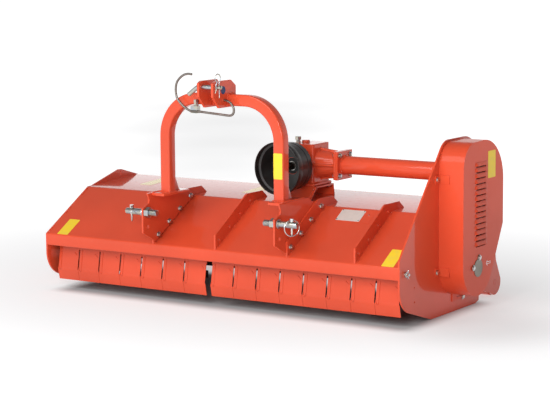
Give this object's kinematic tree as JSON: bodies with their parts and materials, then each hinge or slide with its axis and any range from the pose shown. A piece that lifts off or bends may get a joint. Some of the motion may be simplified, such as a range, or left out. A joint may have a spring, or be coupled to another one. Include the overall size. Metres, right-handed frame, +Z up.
{
  "type": "flail mower",
  "caption": "Flail mower for a tractor's three-point hitch: folded deck between side plates, arched headstock, angle gearbox, belt cover, hammer rotor, hanging front flaps and rear roller.",
  "frame": {"origin": "on the ground under the middle of the bounding box", "axes": "X to the right as the tractor side is seen, Y from the tractor to the rear, Z up"},
  "size_m": [1.991, 1.0362, 1.0177],
  "materials": {
    "paint": "gloss",
    "paint_dark": "gloss",
    "zinc": "zinc plated",
    "steel": "bare steel",
    "black_plastic": "satin",
    "rubber": "matte"
  },
  "bodies": {
    "frame": {"deck_shell": "paint", "side_plate_left": "paint", "side_plate_right": "paint_dark", "deck_ribs": "paint", "hitch_brackets": "paint", "bracket_bolts": "zinc", "headstock_arch": "paint", "clevis_ears": "paint", "lower_pins": "zinc", "lower_pin_nuts": "zinc", "shaft_hook": "steel", "hook_clamp": "zinc", "pedestal": "paint", "gearbox_housing": "paint", "gearbox_plugs": "zinc", "gearbox_bolts": "zinc", "drive_bearings": "steel", "cross_tube": "paint", "pto_guard": "black_plastic", "belt_cover": "paint_dark", "cover_bolts": "zinc", "rotor_bearings": "steel", "flap_rod": "zinc", "rear_curtain": "rubber", "v_belts": "rubber"},
    "rotor": {"rotor_tube": "paint_dark", "hammers": "steel", "rotor_pulley": "steel"},
    "input": {"input_shaft": "steel", "input_gear": "steel"},
    "output": {"output_shaft": "steel", "output_gear": "steel", "drive_pulley": "steel"},
    "tensioner": {"tensioner_arm": "steel"},
    "idler": {"idler_pulley": "steel"},
    "roller_frame": {"roller_arms": "paint_dark"},
    "roller": {"roller": "paint_dark"},
    "top_pin": {"top_pin": "zinc"},
    "clip": {"top_pin_clip": "zinc"},
    "lynch_left": {"lynch_pin_left": "zinc"},
    "lynch_right": {"lynch_pin_right": "zinc"},
    "ring_left": {"lynch_ring_left": "zinc"},
    "ring_right": {"lynch_ring_right": "zinc"},
    "view_plate": {"inspection_plate": "steel"},
    "flap_01": {"flap_01": "paint"},
    "flap_02": {"flap_02": "paint"},
    "flap_03": {"flap_03": "paint"},
    "flap_04": {"flap_04": "paint"},
    "flap_05": {"flap_05": "paint"},
    "flap_06": {"flap_06": "paint"},
    "flap_07": {"flap_07": "paint"},
    "flap_08": {"flap_08": "paint"},
    "flap_09": {"flap_09": "paint"},
    "flap_10": {"flap_10": "paint"},
    "flap_11": {"flap_11": "paint"},
    "flap_12": {"flap_12": "paint"},
    "flap_13": {"flap_13": "paint"},
    "flap_14": {"flap_14": "paint"},
    "flap_15": {"flap_15": "paint"}
  },
  "joints": [
    {"name": "rotor_spin", "type": "hinge", "parent": "frame", "child": "rotor", "pos_m": [-0.0425, 0.052, 0.197], "axis": [1, 0, 0], "continuous": true},
    {"name": "output_spin", "type": "hinge", "parent": "frame", "child": "output", "pos_m": [-0.0425, 0.058, 0.594], "axis": [1, 0, 0], "continuous": true},
    {"name": "input_spin", "type": "hinge", "parent": "frame", "child": "input", "pos_m": [0.1515, -0.022, 0.594], "axis": [0, 1, 0], "continuous": true},
    {"name": "tensioner_swing", "type": "hinge", "parent": "frame", "child": "tensioner", "pos_m": [0.8875, 0.23014, 0.55075], "axis": [1, 0, 0], "range_deg": [0, 12]},
    {"name": "idler_spin", "type": "hinge", "parent": "tensioner", "child": "idler", "pos_m": [0.9295, 0.17814, 0.41075], "axis": [1, 0, 0], "continuous": true},
    {"name": "roller_height", "type": "slide", "parent": "frame", "child": "roller_frame", "axis": [0, 0, 1], "range_m": [-0.06, 0.026]},
    {"name": "roller_spin", "type": "hinge", "parent": "roller_frame", "child": "roller", "pos_m": [-0.0425, 0.463, 0.06], "axis": [1, 0, 0], "continuous": true},
    {"name": "top_pin_turn", "type": "hinge", "parent": "frame", "child": "top_pin", "pos_m": [-0.0105, -0.482, 0.958], "axis": [1, 0, 0], "range_deg": [-90, 90]},
    {"name": "clip_pull", "type": "slide", "parent": "top_pin", "child": "clip", "axis": [0, 0, 1], "range_m": [0, 0.055]},
    {"name": "lynch_left_pull", "type": "slide", "parent": "frame", "child": "lynch_left", "axis": [0, 0, 1], "range_m": [0, 0.09]},
    {"name": "lynch_right_pull", "type": "slide", "parent": "frame", "child": "lynch_right", "axis": [0, 0, 1], "range_m": [0, 0.09]},
    {"name": "ring_left_swing", "type": "hinge", "parent": "lynch_left", "child": "ring_left", "pos_m": [-0.421, -0.483, 0.426], "axis": [0.5446, -0.8387, 0], "range_deg": [-150, 0]},
    {"name": "ring_right_swing", "type": "hinge", "parent": "lynch_right", "child": "ring_right", "pos_m": [0.4, -0.483, 0.426], "axis": [0.5446, 0.8387, 0], "range_deg": [-150, 0]},
    {"name": "view_plate_turn", "type": "hinge", "parent": "frame", "child": "view_plate", "pos_m": [0.9875, 0.06, 0.24], "axis": [1, 0, 0], "range_deg": [0, 120]},
    {"name": "flap_01_swing", "type": "hinge", "parent": "frame", "child": "flap_01", "pos_m": [-0.0425, -0.375, 0.224], "axis": [1, 0, 0], "range_deg": [-10, 60]},
    {"name": "flap_02_swing", "type": "hinge", "parent": "frame", "child": "flap_02", "pos_m": [-0.0425, -0.375, 0.224], "axis": [1, 0, 0], "range_deg": [-10, 60]},
    {"name": "flap_03_swing", "type": "hinge", "parent": "frame", "child": "flap_03", "pos_m": [-0.0425, -0.375, 0.224], "axis": [1, 0, 0], "range_deg": [-10, 60]},
    {"name": "flap_04_swing", "type": "hinge", "parent": "frame", "child": "flap_04", "pos_m": [-0.0425, -0.375, 0.224], "axis": [1, 0, 0], "range_deg": [-10, 60]},
    {"name": "flap_05_swing", "type": "hinge", "parent": "frame", "child": "flap_05", "pos_m": [-0.0425, -0.375, 0.224], "axis": [1, 0, 0], "range_deg": [-10, 60]},
    {"name": "flap_06_swing", "type": "hinge", "parent": "frame", "child": "flap_06", "pos_m": [-0.0425, -0.375, 0.224], "axis": [1, 0, 0], "range_deg": [-10, 60]},
    {"name": "flap_07_swing", "type": "hinge", "parent": "frame", "child": "flap_07", "pos_m": [-0.0425, -0.375, 0.224], "axis": [1, 0, 0], "range_deg": [-10, 60]},
    {"name": "flap_08_swing", "type": "hinge", "parent": "frame", "child": "flap_08", "pos_m": [-0.0425, -0.375, 0.224], "axis": [1, 0, 0], "range_deg": [-10, 60]},
    {"name": "flap_09_swing", "type": "hinge", "parent": "frame", "child": "flap_09", "pos_m": [-0.0425, -0.375, 0.224], "axis": [1, 0, 0], "range_deg": [-10, 60]},
    {"name": "flap_10_swing", "type": "hinge", "parent": "frame", "child": "flap_10", "pos_m": [-0.0425, -0.375, 0.224], "axis": [1, 0, 0], "range_deg": [-10, 60]},
    {"name": "flap_11_swing", "type": "hinge", "parent": "frame", "child": "flap_11", "pos_m": [-0.0425, -0.375, 0.224], "axis": [1, 0, 0], "range_deg": [-10, 60]},
    {"name": "flap_12_swing", "type": "hinge", "parent": "frame", "child": "flap_12", "pos_m": [-0.0425, -0.375, 0.224], "axis": [1, 0, 0], "range_deg": [-10, 60]},
    {"name": "flap_13_swing", "type": "hinge", "parent": "frame", "child": "flap_13", "pos_m": [-0.0425, -0.375, 0.224], "axis": [1, 0, 0], "range_deg": [-10, 60]},
    {"name": "flap_14_swing", "type": "hinge", "parent": "frame", "child": "flap_14", "pos_m": [-0.0425, -0.375, 0.224], "axis": [1, 0, 0], "range_deg": [-10, 60]},
    {"name": "flap_15_swing", "type": "hinge", "parent": "frame", "child": "flap_15", "pos_m": [-0.0425, -0.375, 0.224], "axis": [1, 0, 0], "range_deg": [-10, 60]}
  ],
  "couplings": [
    {"joint": "output_spin", "follows": "rotor_spin", "ratio": 0.54369},
    {"joint": "input_spin", "follows": "rotor_spin", "ratio": 0.27185},
    {"joint": "idler_spin", "follows": "rotor_spin", "ratio": -1.4737},
    {"joint": "lynch_left_pull", "follows": "ring_left_swing", "m_per_rad": -0.03437},
    {"joint": "lynch_right_pull", "follows": "ring_right_swing", "m_per_rad": -0.03437}
  ]
}
